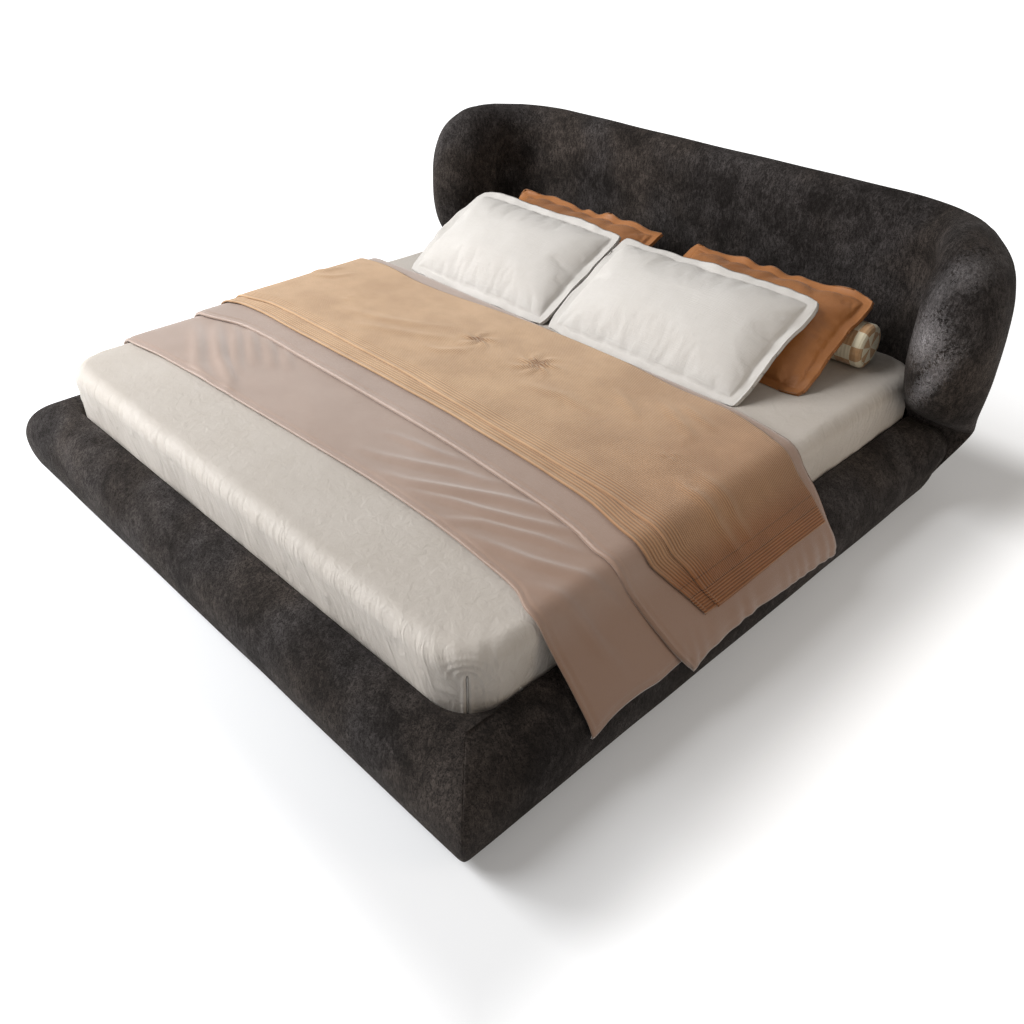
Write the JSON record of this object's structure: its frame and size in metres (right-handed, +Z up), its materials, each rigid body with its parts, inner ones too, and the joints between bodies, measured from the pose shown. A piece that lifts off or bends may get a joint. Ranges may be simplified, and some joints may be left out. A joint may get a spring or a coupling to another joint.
{
  "type": "upholstered bed",
  "caption": "Upholstered double bed with a padded wrap-round headboard, bullnose rails, a slatted base, a mattress, layered bedding, pillows and a bolster.",
  "frame": {"origin": "centre of the bed's footprint on the floor", "axes": "+X across the bed towards its right-hand side, +Y along the bed towards the headboard, +Z up"},
  "size_m": [2.4128, 2.3098, 0.903],
  "materials": {
    "velvet": "matte",
    "foam": "matte",
    "timber": "matte",
    "plywood": "matte",
    "slat_birch": "satin",
    "holder_plastic": "matte",
    "bracket_steel": "satin",
    "zinc_fasteners": "satin",
    "leg_steel": "satin",
    "foot_plastic": "matte",
    "insert_plastic": "matte",
    "glide_plastic": "matte",
    "sheet_sateen": "satin",
    "ticking": "matte",
    "spring_core": "matte",
    "duvet_satin": "satin",
    "throw_knit": "matte",
    "white_linen": "matte",
    "tan_satin": "satin",
    "filling": "matte",
    "bolster_print": "matte"
  },
  "bodies": {
    "bed": {"beam_hangers": "bracket_steel", "bolster_cover": "bolster_print", "bolster_filling": "filling", "bracket_screws": "zinc_fasteners", "centre_beam": "timber", "centre_legs": "leg_steel", "corner_brackets": "bracket_steel", "duvet": "duvet_satin", "fitted_sheet": "sheet_sateen", "glides": "glide_plastic", "headboard_bolts": "zinc_fasteners", "headboard_cap_left": "velvet", "headboard_cap_right": "velvet", "headboard_cover_centre": "velvet", "headboard_cover_corner_left": "velvet", "headboard_cover_corner_right": "velvet", "headboard_pad_centre": "foam", "headboard_pad_left": "foam", "headboard_pad_right": "foam", "headboard_panel_board": "plywood", "headboard_spacers": "timber", "headboard_wing_frame_left": "timber", "headboard_wing_frame_right": "timber", "leg_inserts": "insert_plastic", "mattress_base_foam": "foam", "mattress_border_foam": "foam", "mattress_comfort_foam": "foam", "mattress_spring_core": "spring_core", "mattress_ticking": "ticking", "rail_board_foot": "timber", "rail_board_head": "timber", "rail_board_left": "timber", "rail_board_right": "timber", "rail_corner_pads": "velvet", "rail_cover_foot": "velvet", "rail_cover_left": "velvet", "rail_cover_right": "velvet", "rail_pad_foot": "foam", "rail_pad_left": "foam", "rail_pad_right": "foam", "slat_holders_left": "holder_plastic", "slat_holders_right": "holder_plastic", "slat_ledge_left": "timber", "slat_ledge_right": "timber", "slats_left": "slat_birch", "slats_right": "slat_birch", "tan_pillow_left_case": "tan_satin", "tan_pillow_left_filling": "filling", "tan_pillow_right_case": "tan_satin", "tan_pillow_right_filling": "filling", "throw_blanket": "throw_knit", "white_pillow_left_case": "white_linen", "white_pillow_left_filling": "filling", "white_pillow_right_case": "white_linen", "white_pillow_right_filling": "filling"},
    "leveller_foot": {"screw_foot_foot": "foot_plastic"},
    "leveller_middle": {"screw_foot_middle": "foot_plastic"},
    "leveller_head": {"screw_foot_head": "foot_plastic"}
  },
  "joints": [
    {"name": "level_foot", "type": "slide", "parent": "bed", "child": "leveller_foot", "axis": [0, 0, -1], "range_m": [0, 0.015]},
    {"name": "level_middle", "type": "slide", "parent": "bed", "child": "leveller_middle", "axis": [0, 0, -1], "range_m": [0, 0.015]},
    {"name": "level_head", "type": "slide", "parent": "bed", "child": "leveller_head", "axis": [0, 0, -1], "range_m": [0, 0.015]}
  ]
}
